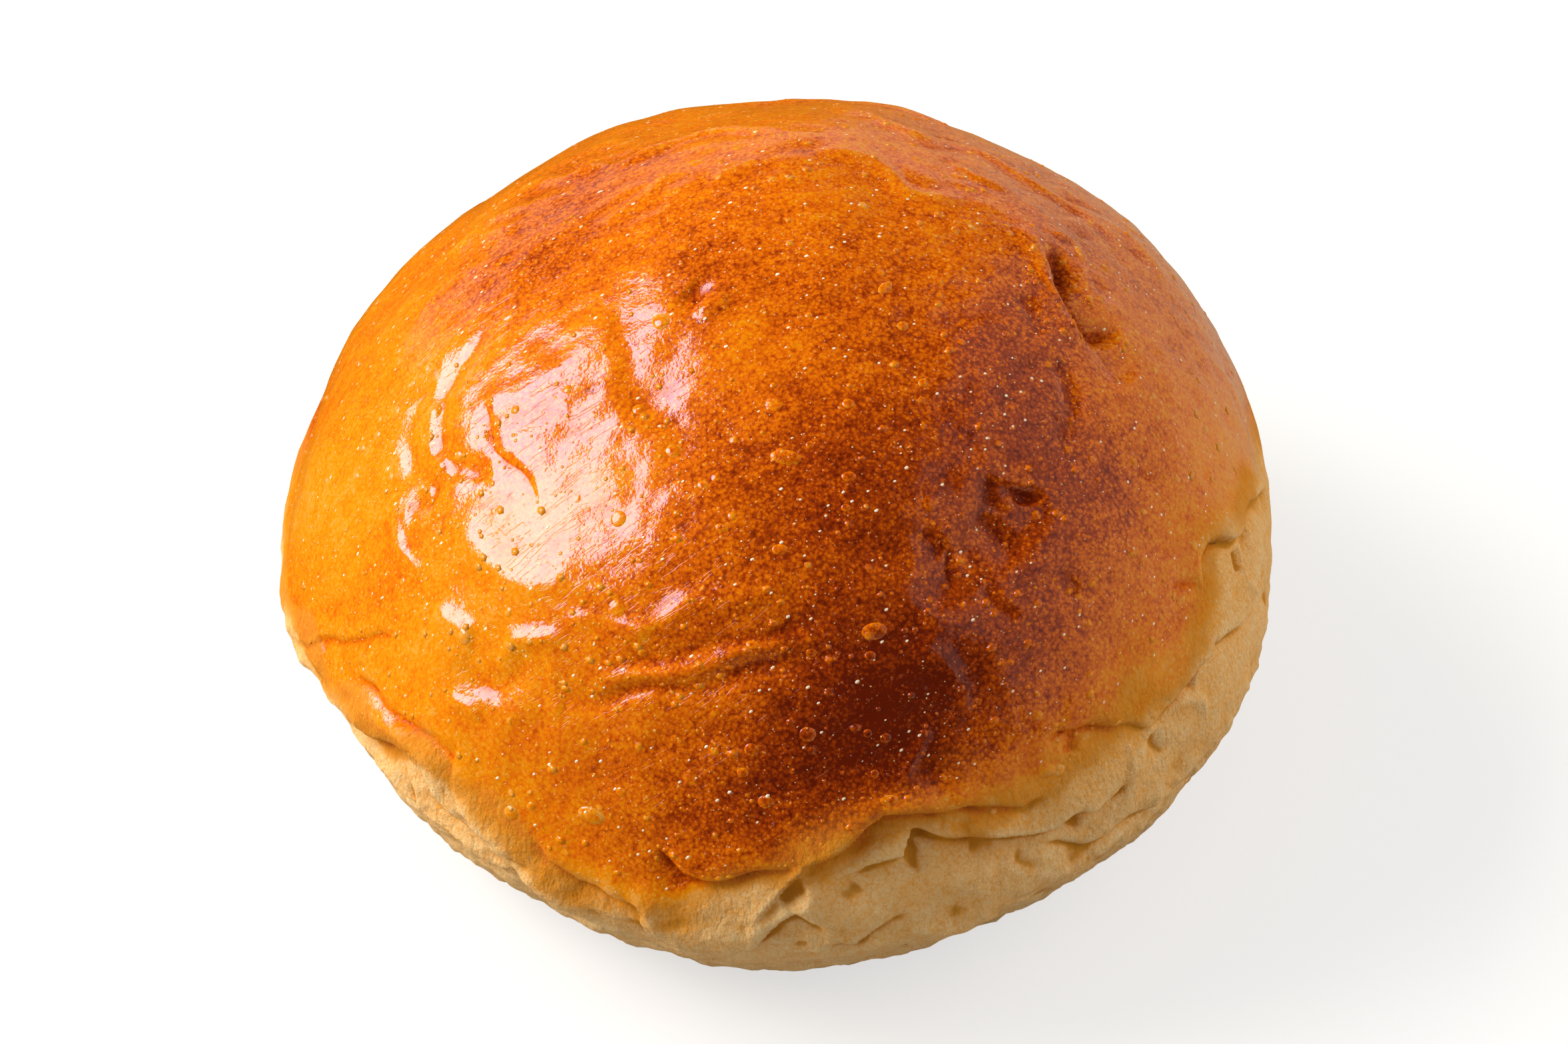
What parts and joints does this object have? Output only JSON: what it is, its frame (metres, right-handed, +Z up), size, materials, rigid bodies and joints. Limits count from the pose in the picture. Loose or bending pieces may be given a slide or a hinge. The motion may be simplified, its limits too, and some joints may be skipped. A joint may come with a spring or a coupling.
{
  "type": "burger bun",
  "caption": "Whole, uncut burger bun: a glossy, unevenly domed brown crown over a paler base with pinched folds, resting on its flat underside.",
  "frame": {"origin": "centre of the bounding box on the plane of the flat underside", "axes": "+Z up through the crown, -Y towards the side that the picture shows"},
  "size_m": [0.1024, 0.1062, 0.0618],
  "materials": {
    "crust": "glossy baked crust, matt and paler towards the base"
  },
  "bodies": {
    "root": {"bun": "crust"}
  },
  "joints": []
}
